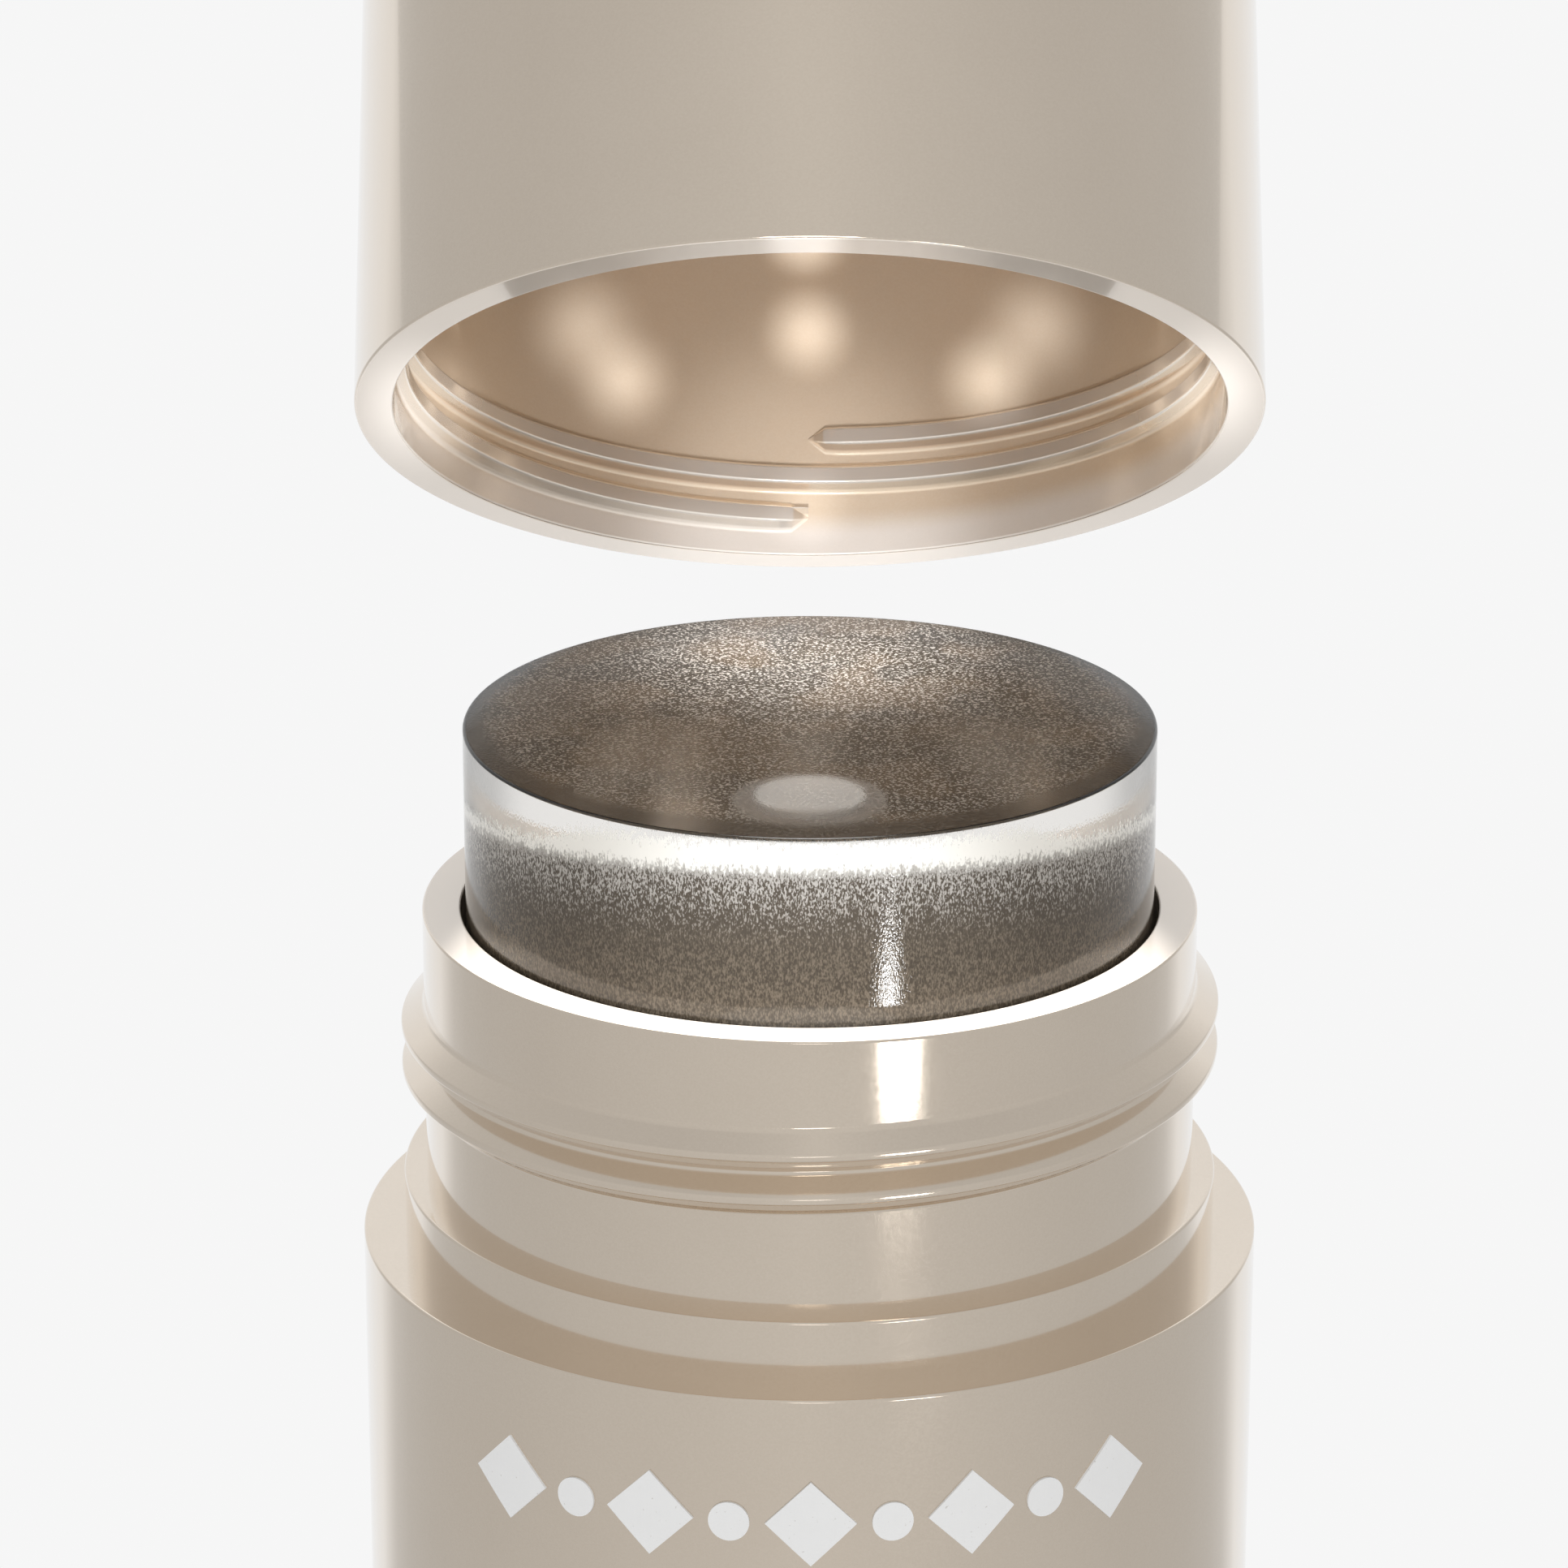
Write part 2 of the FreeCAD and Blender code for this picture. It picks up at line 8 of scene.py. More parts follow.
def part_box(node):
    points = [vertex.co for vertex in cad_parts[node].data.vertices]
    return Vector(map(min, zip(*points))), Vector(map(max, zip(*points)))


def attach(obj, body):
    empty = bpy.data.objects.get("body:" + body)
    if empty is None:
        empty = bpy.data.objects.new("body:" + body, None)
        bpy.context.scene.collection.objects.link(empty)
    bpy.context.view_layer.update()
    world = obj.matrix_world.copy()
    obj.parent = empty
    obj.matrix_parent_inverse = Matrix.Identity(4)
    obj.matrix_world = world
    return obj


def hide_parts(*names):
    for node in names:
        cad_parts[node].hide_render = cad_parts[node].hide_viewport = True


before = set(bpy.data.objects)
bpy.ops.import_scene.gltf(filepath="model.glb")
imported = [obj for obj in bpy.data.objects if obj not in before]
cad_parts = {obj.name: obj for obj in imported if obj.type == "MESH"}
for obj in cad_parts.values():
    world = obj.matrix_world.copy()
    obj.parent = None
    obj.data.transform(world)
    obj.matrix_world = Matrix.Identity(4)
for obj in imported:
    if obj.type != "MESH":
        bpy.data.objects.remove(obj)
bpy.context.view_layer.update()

MM = 0.001


# ---- Inner barrel -------------------------------------------------------------------------------
# One injection moulding: the tube that the stick runs in, two bands that the sleeve is pushed over,
# the collar and the threaded neck. It is lacquered in pearl champagne, as every outside piece is.

class Signal:
    """An output of a shader node. Sums with it add Math nodes to the material's tree."""

    def __init__(self, tree, socket=None):
        self.tree = tree
        self.socket = socket

    def node(self, kind, settings=None, sockets=None, output=0):
        """A new node: its settings are set first, then its sockets get their values or links."""
        made = self.tree.nodes.new(kind)
        for name, setting in (settings or {}).items():
            if name == "stops":
                ramp = made.color_ramp.elements
                while len(ramp) < len(setting):
                    ramp.new(1.0)
                for stop, (place, colour) in zip(ramp, setting):
                    stop.position = place
                    stop.color = (*colour, 1.0)
            else:
                setattr(made, name, setting)
        for name, given in (sockets or {}).items():
            if isinstance(given, Signal):
                self.tree.links.new(given.socket, made.inputs[name])
            else:
                made.inputs[name].default_value = given
        return Signal(self.tree, made.outputs[output] if made.outputs else None)

    def maths(self, operation, *others):
        return self.node("ShaderNodeMath", {"operation": operation}, dict(enumerate((self, *others))))

    def __add__(self, other):
        return self.maths("ADD", other)

    def __sub__(self, other):
        return self.maths("SUBTRACT", other)

    def __rsub__(self, other):
        return -1 * self + other

    def __mul__(self, other):
        return self.maths("MULTIPLY", other)

    def __truediv__(self, other):
        return self.maths("DIVIDE", other)

    __radd__ = __add__
    __rmul__ = __mul__

    def step(self, start, end):
        """0 below start, 1 above end, and smooth between them."""
        settings = {"interpolation_type": "SMOOTHSTEP"}
        return self.node("ShaderNodeMapRange", settings, {0: self, 1: start, 2: end})

    def mix(self, low, high):
        """Colour low where this is 0 and colour high where it is 1."""
        settings = {"data_type": "RGBA"}
        return self.node("ShaderNodeMix", settings, {0: self, 6: low, 7: high}, output=2)


def new_material(name):
    """An empty material, and a signal that nodes are added from."""
    made = bpy.data.materials.new(name)
    made.use_nodes = True
    made.node_tree.nodes.clear()
    return made, Signal(made.node_tree)


def finish_material(made, sheet, surface):
    sheet.node("ShaderNodeOutputMaterial", None, {"Surface": surface})
    return made


def pearl_lacquer(name, inner_radius, mouth, tilt):
    """Champagne lacquer full of fine mica: a mirror softened by flakes and orange peel, under a clear
    coat. Spray thins out down the bore. A thread's ridge is polished by its mate, and its top edge is
    painted pale as a painted highlight; the flat lip round the mouth is rubbed to a pale satin.
    The bore is inner_radius about an axis that passes through mouth and leans back by tilt."""
    flake_size = 0.09 * MM
    cloud_size = 6 * MM
    peel_size = 1.1 * MM
    made, sheet = new_material(name)
    place = sheet.node("ShaderNodeTexCoord", output="Object")
    flake = sheet.node("ShaderNodeTexVoronoi", None, {"Vector": place, "Scale": 1 / flake_size},
                       output="Color")
    glint = sheet.node("ShaderNodeSeparateColor", None, {0: flake}, output=0)
    cloud = sheet.node("ShaderNodeTexNoise", None, {
        "Vector": place, "Scale": 1 / cloud_size, "Detail": 4.0})
    peel = sheet.node("ShaderNodeTexNoise", None, {
        "Vector": place, "Scale": 1 / peel_size, "Detail": 2.0})
    centred = sheet.node("ShaderNodeVectorMath", {"operation": "SUBTRACT"}, {0: place, 1: mouth})
    upright = sheet.node("ShaderNodeMapping", None, {"Vector": centred, "Rotation": (tilt, 0.0, 0.0)})
    x, y, z = (sheet.node("ShaderNodeSeparateXYZ", None, {0: upright}, output=axis) for axis in range(3))
    radius = (x * x + y * y).maths("SQRT")
    inside = 1 - radius.step(inner_radius - 0.02 * MM, inner_radius + 0.02 * MM)
    ridge = 1 - radius.step(inner_radius - 0.30 * MM, inner_radius - 0.15 * MM)
    # Painted highlight: the thread ridge's top edge is painted pale in place of a glint.
    painted_crest_highlight = 1 - radius.step(inner_radius - 0.64 * MM, inner_radius - 0.54 * MM)
    lip = 1 - z.maths("ABSOLUTE").step(0.01 * MM, 0.04 * MM)
    bare = inside * z.maths("ABSOLUTE").step(1.0 * MM, 2.6 * MM)
    shade = glint * 0.35 + cloud * 0.65
    outer = shade.mix((0.745, 0.645, 0.532, 1.0), (0.800, 0.700, 0.585, 1.0))
    inner = shade.mix((0.79, 0.625, 0.455, 1.0), (0.85, 0.695, 0.525, 1.0))
    satin = shade.mix((0.82, 0.735, 0.645, 1.0), (0.86, 0.780, 0.695, 1.0))
    # The pale colour on the ridge's top edge is a painted highlight.
    lining = painted_crest_highlight.mix(bare.mix(satin, inner), (0.92, 0.84, 0.74, 1.0))
    colour = lip.mix(inside.mix(outer, lining), (0.88, 0.785, 0.685, 1.0))
    roughness = 0.08 + 0.035 * glint + 0.02 * cloud + 0.09 * inside - 0.07 * ridge
    bump = sheet.node("ShaderNodeBump", None, {
        "Strength": 0.02, "Distance": 0.02 * MM, "Height": peel * 0.9 + glint * 0.06})
    metal = 1 - 0.64 * inside + 0.12 * bare + 0.22 * ridge - 0.7 * lip
    surface = sheet.node("ShaderNodeBsdfPrincipled", None, {
        "Base Color": colour, "Metallic": metal, "Roughness": roughness,
        "Coat Weight": 1.0, "Coat IOR": 1.5, "Coat Roughness": 0.03, "Normal": bump})
    return finish_material(made, sheet, surface)


def round_corners(shell, corners, rounds, segments):
    """Rounds corners of a wire outline: rounds maps a corner's number to its radius."""
    for number, size in rounds.items():
        bmesh.ops.bevel(shell, geom=[corners[number]], offset=size, offset_type="OFFSET",
                        segments=segments, profile=0.5, affect="VERTICES", material=-1)


def turn_outline(outline, rounds, steps):
    """Shell of a closed outline of (radius, height) corners, turned once round the Z axis."""
    corner_segments = 6
    shell = bmesh.new()
    corners = [shell.verts.new((radius, 0.0, height)) for radius, height in outline]
    for pair in zip(corners, corners[1:] + corners[:1]):
        shell.edges.new(pair)
    round_corners(shell, corners, rounds, corner_segments)
    bmesh.ops.spin(shell, geom=shell.verts[:] + shell.edges[:], cent=(0, 0, 0), axis=(0, 0, 1),
                   angle=2 * math.pi, steps=steps, use_merge=True)
    return shell


def wind_ridge(shell, section, rounds, pitch, turns, steps, taper):
    """Adds a right-hand ridge of that section, from the back of the Z axis upwards. Over the length
    taper each end narrows and sinks into the wall, whose radius is the section's third corner's."""
    corner_segments = 4
    narrowest = 0.08
    ridge = bmesh.new()
    corners = [ridge.verts.new((0.0, radius, height)) for radius, height in section]
    ridge.faces.new(corners)
    round_corners(ridge, corners, rounds, corner_segments)
    bmesh.ops.spin(ridge, geom=ridge.faces[:], cent=(0, 0, 0), axis=(0, 0, 1),
                   angle=2 * math.pi * turns, dvec=(0, 0, pitch * turns / steps), steps=steps)
    wall = section[2][0]
    outwards = section[3][0] > wall
    ring = len(ridge.verts) // (steps + 1)
    length = 2 * math.pi * turns * wall
    centre = (section[2][1] + section[5][1]) / 2
    for number, vert in enumerate(ridge.verts):
        along = number // ring * length / steps
        share = min(1.0, min(along, length - along) / taper)
        radius = math.hypot(vert.co.x, vert.co.y)
        left = math.sqrt(1 - (1 - share) ** 2)
        middle = centre + pitch * along / (2 * math.pi * wall)
        vert.co.z = middle + (vert.co.z - middle) * max(narrowest, left)
        if share < 1 and (radius > wall) == outwards:
            lowered = wall + (radius - wall) * left
            vert.co.x *= lowered / radius
            vert.co.y *= lowered / radius
    mesh = bpy.data.meshes.new("ridge")
    ridge.to_mesh(mesh)
    ridge.free()
    shell.from_mesh(mesh)
    bpy.data.meshes.remove(mesh)


def finish_piece(name, shell, material, body, slot, *nodes):
    """Makes the object of a piece, smooth with crisp edges, that rides on a body for its CAD nodes."""
    weld = 0.0005 * MM
    crisp = math.radians(32)
    bmesh.ops.remove_doubles(shell, verts=shell.verts[:], dist=weld)
    bmesh.ops.recalc_face_normals(shell, faces=shell.faces[:])
    for face in shell.faces:
        face.smooth = True
    for edge in shell.edges:
        if len(edge.link_faces) == 2 and edge.calc_face_angle() > crisp:
            edge.smooth = False
    mesh = bpy.data.meshes.new(name)
    shell.to_mesh(mesh)
    shell.free()
    piece = bpy.data.objects.new(name, mesh)
    bpy.context.scene.collection.objects.link(piece)
    mesh.materials.append(material)
    weighted = piece.modifiers.new("flat faces stay flat", "WEIGHTED_NORMAL")
    weighted.keep_sharp = True
    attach(piece, body)
    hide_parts(*nodes)
    return piece


foot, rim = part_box("inner_barrel")[0].z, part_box("inner_barrel")[1].z
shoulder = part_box("outer_sleeve")[1].z
pack_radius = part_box("outer_sleeve")[1].x
sleeve_wall = 2.05 * MM
sleeve_fit = 0.04 * MM
collar_radius = pack_radius - sleeve_wall - sleeve_fit
collar_top = shoulder + 3.11 * MM
collar_foot = shoulder - 8.0 * MM
foot_band_top = foot + 9.6 * MM
neck_radius = collar_radius - 1.14 * MM
bore_radius = neck_radius - 1.92 * MM
edge_round = 0.15 * MM
closure_pitch = 2.2 * MM
closure_turns = 2.0
thread_start = shoulder + 7.21 * MM
thread_base = 2.0 * MM
thread_crest = 0.3 * MM
thread_height = 1.15 * MM
thread_root = 0.3 * MM
thread_sink = 0.004 * MM
thread_root_round = 0.2 * MM
thread_crest_round = 0.08 * MM
thread_run_out = 3 * MM
thread_steps = 288
root_fillet = 0.25 * MM
keyway_low = foot + 0.8 * MM
keyway_high = rim - 10.46 * MM
keyway_half = 1.6 * MM
keyway_radius = bore_radius + 0.8 * MM
on_surface = 0.001 * MM
cut_slack = 0.0001 * MM
lining_depth = 0.05 * MM
pearl = pearl_lacquer("pearl champagne lacquer", bore_radius + lining_depth, (0.0, 0.0, rim), 0.0)

barrel = turn_outline((
    (bore_radius, foot), (collar_radius, foot), (collar_radius, foot_band_top),
    (neck_radius, foot_band_top), (neck_radius, collar_foot), (collar_radius, collar_foot),
    (collar_radius, collar_top), (neck_radius, collar_top), (neck_radius, rim), (bore_radius, rim),
), {6: edge_round, 8: edge_round, 9: edge_round}, thread_steps)
bore = [face for face in barrel.faces if all(
    abs(math.hypot(vert.co.x, vert.co.y) - bore_radius) < on_surface for vert in face.verts)]
for height in (keyway_low, keyway_high):
    around = bore + list({edge for face in bore for edge in face.edges}) + list(
        {vert for face in bore for vert in face.verts})
    cut = bmesh.ops.bisect_plane(barrel, geom=around, dist=cut_slack, plane_co=(0, 0, height),
                                 plane_no=(0, 0, 1))
    bore = [part for part in cut["geom"] if isinstance(part, bmesh.types.BMFace)]
keyways = [face for face in bore
           if keyway_low < face.calc_center_median().z < keyway_high
           and min(abs(face.calc_center_median().x), abs(face.calc_center_median().y)) < keyway_half]
deeper = bmesh.ops.extrude_face_region(barrel, geom=keyways)
for part in deeper["geom"]:
    if isinstance(part, bmesh.types.BMVert):
        part.co.x *= keyway_radius / bore_radius
        part.co.y *= keyway_radius / bore_radius
flank = (thread_base - thread_crest) / 2
wind_ridge(barrel, (
    (neck_radius - thread_root, thread_start - root_fillet),
    (neck_radius - thread_sink, thread_start - root_fillet),
    (neck_radius, thread_start),
    (neck_radius + thread_height, thread_start + flank),
    (neck_radius + thread_height, thread_start + flank + thread_crest),
    (neck_radius, thread_start + thread_base),
    (neck_radius - thread_sink, thread_start + thread_base + root_fillet),
    (neck_radius - thread_root, thread_start + thread_base + root_fillet),
), {2: thread_root_round, 5: thread_root_round, 3: thread_crest_round, 4: thread_crest_round},
    closure_pitch, closure_turns, thread_steps, thread_run_out)
barrel_piece = finish_piece(
    "inner_barrel_moulding", barrel, pearl, "barrel", "pearl_shell", "inner_barrel")


# ---- Outer sleeve -------------------------------------------------------------------------------
# A plain tube pushed down over the barrel's two bands. Its flat top edge is the shoulder.

sleeve_bore = collar_radius - 0.01 * MM
tube_steps = 320
sleeve = turn_outline((
    (sleeve_bore, foot), (pack_radius, foot), (pack_radius, shoulder), (sleeve_bore, shoulder),
), {1: edge_round, 2: edge_round}, tube_steps)
sleeve_piece = finish_piece(
    "outer_sleeve_tube", sleeve, pearl, "barrel", "pearl_shell", "outer_sleeve")


# ---- Printed row --------------------------------------------------------------------------------
# Lozenges and dots screen printed on the sleeve in one thick pass of white ink. The mesh leaves the
# ink faintly woven, with a few pinholes.

def white_ink(name):
    """Opaque white ink: faint mottling, the weave of the printing mesh, and fine pinholes."""
    mottle_size = 0.9 * MM
    weave_size = 0.16 * MM
    pinhole_size = 0.22 * MM
    made, sheet = new_material(name)
    place = sheet.node("ShaderNodeTexCoord", output="Object")
    mottle = sheet.node("ShaderNodeTexNoise", None, {
        "Vector": place, "Scale": 1 / mottle_size, "Detail": 3.0})
    cell = sheet.node("ShaderNodeTexVoronoi", {"feature": "F1"}, {
        "Vector": place, "Scale": 1 / weave_size, "Randomness": 0.35}, output="Distance")
    pinhole = (sheet.node("ShaderNodeTexNoise", None, {
        "Vector": place, "Scale": 1 / pinhole_size, "Detail": 2.0}) - 0.5).step(0.20, 0.26)
    shade = mottle * 0.7 + cell * 0.3
    film = shade.mix((0.90, 0.90, 0.895, 1.0), (0.94, 0.94, 0.935, 1.0))
    ink = pinhole.mix(film, (0.70, 0.68, 0.65, 1.0))
    bump = sheet.node("ShaderNodeBump", None, {
        "Strength": 0.25, "Distance": 0.02 * MM, "Height": mottle * 0.4 - cell * 0.4 - pinhole * 0.6})
    surface = sheet.node("ShaderNodeBsdfPrincipled", None, {
        "Base Color": ink, "Metallic": 0.0, "Roughness": 0.34 + 0.14 * mottle,
        "IOR": 1.48, "Normal": bump})
    return finish_material(made, sheet, surface)


def dress(node, material):
    """Gives a carried-over solid its material."""
    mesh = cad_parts[node].data
    mesh.materials.clear()
    mesh.materials.append(material)


dress("print_marks", white_ink("white screen ink"))


# ---- Base plug, spindle, dial core and elevator -------------------------------------------------
# The hidden works are moulded in natural polypropylene, milky and waxy. The spindle and the dial's
# core are acetal, whiter and slicker, because the nut and the snap ring rub on them.

def natural_moulding(name, thin, thick, roughness):
    """Milky plastic, whose colour runs from thin to thick, with flow lines, faint sink marks and a
    waxy gloss."""
    flow_size = 2.4 * MM
    grain_size = 0.08 * MM
    sink_size = 7 * MM
    made, sheet = new_material(name)
    place = sheet.node("ShaderNodeTexCoord", output="Object")
    drawn = sheet.node("ShaderNodeMapping", None, {"Vector": place, "Scale": (1.0, 1.0, 0.25)})
    flow = sheet.node("ShaderNodeTexNoise", None, {
        "Vector": drawn, "Scale": 1 / flow_size, "Detail": 5.0, "Distortion": 1.5})
    grain = sheet.node("ShaderNodeTexNoise", None, {
        "Vector": place, "Scale": 1 / grain_size, "Detail": 2.0})
    sink = sheet.node("ShaderNodeTexNoise", None, {
        "Vector": place, "Scale": 1 / sink_size, "Detail": 1.0})
    bump = sheet.node("ShaderNodeBump", None, {
        "Strength": 0.2, "Distance": 0.02 * MM, "Height": grain * 0.3 + flow * 0.7})
    colour = (flow * 0.7 + sink * 0.3).step(0.30, 0.70).mix(thin, thick)
    gloss = roughness + 0.12 * (grain - 0.5) + 0.08 * (flow - 0.5)
    surface = sheet.node("ShaderNodeBsdfPrincipled", None, {
        "Base Color": colour, "Metallic": 0.0, "Roughness": gloss, "IOR": 1.49, "Normal": bump})
    return finish_material(made, sheet, surface)


milky = natural_moulding("natural polypropylene", (0.70, 0.68, 0.64, 1.0), (0.80, 0.78, 0.74, 1.0), 0.42)
slick = natural_moulding("white acetal", (0.78, 0.775, 0.76, 1.0), (0.84, 0.835, 0.82, 1.0), 0.28)
dress("base_plug", milky)
dress("elevator", milky)
dress("spindle", slick)
dress("dial_core", slick)


# ---- Gel stick ----------------------------------------------------------------------------------
# Clear gel cast in the pack: a round bar with a hollow up its middle that clears the spindle. Its
# skin is faintly rough from the mould, streaked along the bar and grained across the top.

gel_low, gel_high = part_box("gel_stick")
gel_radius = gel_high.x
cup_wall = 0.9 * MM
cup_depth = 6.0 * MM
nut_radius = 6.0 * MM
nut_rise = 8.0 * MM
hollow_radius = 3.85 * MM
tip_hollow_radius = 2.75 * MM
hollow_top = gel_high.z - 13.34 * MM
tip_step = hollow_top - 1.0 * MM
gel_round = 0.15 * MM
gel_steps = 256


def clear_gel(name):
    """Clear inside. The skin is hazed by fine streaks up the side, to a line that slants up to the
    back, and by grain across the top out to a ring a little behind the middle. Between them it stays
    clear, and a patch near the front is wiped thin. The haze is coloured with painted light and shade:
    dark brown painted shade with pale painted sparkle, darker towards the bottom of the side, a painted
    bright band along the haze's top edge, and a near-black painted shade round the edge of the top.
    The hollow is frosted, white on the disc over the spindle's tip and grey round it. Radii, depths
    and centres are in millimetres."""
    grain_size = 0.15 * MM
    streak_size = 0.075 * MM
    speck_size = 0.16 * MM
    cloud_size = 5 * MM
    sanded_centre = 1.1
    sanded_radius = 15.3
    sanded_blur = 1.7
    wiped_centre = -11.8
    wiped_radius = 2.6
    wiped_blur = 2.0
    haze_line = 1.46
    haze_slant = 2.8
    disc_radius = 2.72
    disc_blur = 0.10
    made, sheet = new_material(name)
    place = sheet.node("ShaderNodeTexCoord", output="Object")
    x, y, z = (sheet.node("ShaderNodeSeparateXYZ", None, {0: place}, output=axis) for axis in range(3))
    radius = (x * x + y * y).maths("SQRT") / MM
    depth = (gel_high.z - z) / MM
    grain = sheet.node("ShaderNodeTexNoise", None, {
        "Vector": place, "Scale": 1 / grain_size, "Detail": 3.0})
    stretched = sheet.node("ShaderNodeMapping", None, {"Vector": place, "Scale": (1.0, 1.0, 0.45)})
    streak = sheet.node("ShaderNodeTexNoise", None, {
        "Vector": stretched, "Scale": 1 / streak_size, "Detail": 1.0})
    speck = sheet.node("ShaderNodeTexNoise", None, {
        "Vector": stretched, "Scale": 1 / speck_size, "Detail": 2.0})
    cloud = sheet.node("ShaderNodeTexNoise", None, {
        "Vector": place, "Scale": 1 / cloud_size, "Detail": 1.5})
    edge = gel_radius / MM
    face = 1 - depth.step(0.05, 0.3)
    side = radius.step(edge - 0.06, edge - 0.02)
    hollow = (1 - radius.step(4.5, 5.0)) * depth.step(5.0, 6.0)
    tip = 1 - radius.step(disc_radius, disc_radius + disc_blur)
    back = y / MM - sanded_centre
    ragged = (x * x / MM ** 2 + back * back).maths("SQRT") + 2.6 * (grain - 0.5)
    sanded = 1 - ragged.step(sanded_radius, sanded_radius + sanded_blur)
    slant = haze_slant * (1 + y / gel_radius)
    below = depth - haze_line - slant + 1.2 * (streak - 0.5) + 1.6 * (speck - 0.5)
    outside = 1 - sheet.node("ShaderNodeNewGeometry", output="Backfacing")
    front = (y / gel_radius).step(-0.62, -0.84)
    forward = y / MM - wiped_centre
    spread = (x * x / MM ** 2 + forward * forward).maths("SQRT")
    wiped = 1 - spread.step(wiped_radius, wiped_radius + wiped_blur)
    within = 1 - radius.step(edge - 0.25, edge - 0.12)
    top = face * within * (0.90 - 0.25 * sanded - 0.30 * wiped)
    wall = side * (below + 0.9 * front).step(-0.65, -0.1) * 0.95
    haze = outside * (wall + top) + hollow * 0.95
    # Painted light and shade on the side's haze: dark brown stands for the shade seen into the pack,
    # pale flecks are painted sparkle, and it grows darker towards the bottom as painted shade.
    painted_sparkle_mask = (0.65 * streak + 0.35 * speck - 0.035 * below).step(0.41, 0.54)
    painted_side_light_and_shade = painted_sparkle_mask.mix((0.080, 0.063, 0.046, 1.0), (0.46, 0.43, 0.39, 1.0))
    painted_speck_mask = (streak * 0.6 + speck * 0.4 - 0.5).step(-0.10, 0.14)
    painted_depth_shade = painted_speck_mask.mix((0.058, 0.045, 0.031, 1.0), (0.150, 0.120, 0.087, 1.0))
    painted_side_light_and_shade = below.step(1.2, 5.0).mix(painted_side_light_and_shade, painted_depth_shade)
    # Cream along the haze's top edge: a painted bright band.
    painted_side_light_and_shade = below.step(-0.1, 0.45).mix((0.93, 0.90, 0.83, 1.0), painted_side_light_and_shade)
    # Painted light and shade on the top: a dark brown base is painted shade with pale specks as painted
    # sparkle, and round the edge of the top a near-black ring is painted shade.
    painted_speck_mask = (grain - 0.5).step(-0.02, 0.13)
    painted_top_shade = cloud.step(0.44, 0.58).mix((0.022, 0.019, 0.016, 1.0), (0.105, 0.070, 0.042, 1.0))
    painted_top_shade_and_sparkle = painted_speck_mask.mix(painted_top_shade, (0.62, 0.56, 0.485, 1.0))
    painted_rim_shade = painted_speck_mask.mix((0.002, 0.002, 0.003, 1.0), (0.10, 0.09, 0.080, 1.0))
    skin_colour_with_painted_light = face.mix(painted_side_light_and_shade, sanded.mix(painted_rim_shade, painted_top_shade_and_sparkle))
    frost = tip.mix((0.42, 0.41, 0.40, 1.0), (0.95, 0.94, 0.92, 1.0))
    skin_colour_with_painted_light = hollow.mix(skin_colour_with_painted_light, frost)
    relief = side * streak * 0.6 + (1 - side) * grain * 0.8
    bump = sheet.node("ShaderNodeBump", None, {
        "Strength": 0.5, "Distance": 0.014 * MM, "Height": relief})
    inside = sheet.node("ShaderNodeBsdfPrincipled", None, {
        "Base Color": (0.97, 0.95, 0.92, 1.0), "Metallic": 0.0, "Roughness": 0.03,
        "IOR": 1.5, "Transmission Weight": 1.0, "Normal": bump})
    skin = sheet.node("ShaderNodeBsdfPrincipled", None, {
        "Base Color": skin_colour_with_painted_light, "Metallic": 0.0, "Roughness": 0.045, "IOR": 1.5, "Normal": bump})
    shadow = sheet.node("ShaderNodeLightPath", output="Is Shadow Ray")
    passing = sheet.node("ShaderNodeBsdfTransparent", None, {"Color": (0.95, 0.93, 0.90, 1.0)})
    inside = sheet.node("ShaderNodeMixShader", None, {0: shadow, 1: inside, 2: passing})
    surface = sheet.node("ShaderNodeMixShader", None, {0: haze, 1: inside, 2: skin})
    return finish_material(made, sheet, surface)


gel = turn_outline((
    (nut_radius, gel_low.z), (gel_radius - cup_wall, gel_low.z),
    (gel_radius - cup_wall, gel_low.z + cup_depth), (gel_radius, gel_low.z + cup_depth),
    (gel_radius, gel_high.z), (0.0, gel_high.z), (0.0, hollow_top),
    (tip_hollow_radius, hollow_top), (tip_hollow_radius, tip_step), (hollow_radius, tip_step),
    (hollow_radius, gel_low.z + nut_rise), (nut_radius, gel_low.z + nut_rise),
), {4: gel_round}, gel_steps)
gel_piece = finish_piece("gel_bar", gel, clear_gel("clear gel"), "carriage", "gel", "gel_stick")


# ---- Cap ----------------------------------------------------------------------------------------
# A straight cap closed at its far end, one moulding with a thread inside its mouth. It is off the
# pack and leans back over the stick, so it is made upright on its rim and then laid in its place.

cap_tilt = math.radians(37.115)
cap_rim = Vector((0.0, 5.92 * MM, shoulder + 40.38 * MM))
cap_wall = 1.91 * MM
cap_bore = pack_radius - cap_wall
cap_length = 40.0 * MM
crown_wall = 2.5 * MM
crown_round = 0.8 * MM
cap_thread_start = 1.32 * MM
cap_thread_base = 1.55 * MM
cap_thread_crest = 0.8 * MM
cap_thread_height = 0.64 * MM
cap_root_round = 0.15 * MM
cap_crest_round = 0.1 * MM
cap_run_out = 1.4 * MM

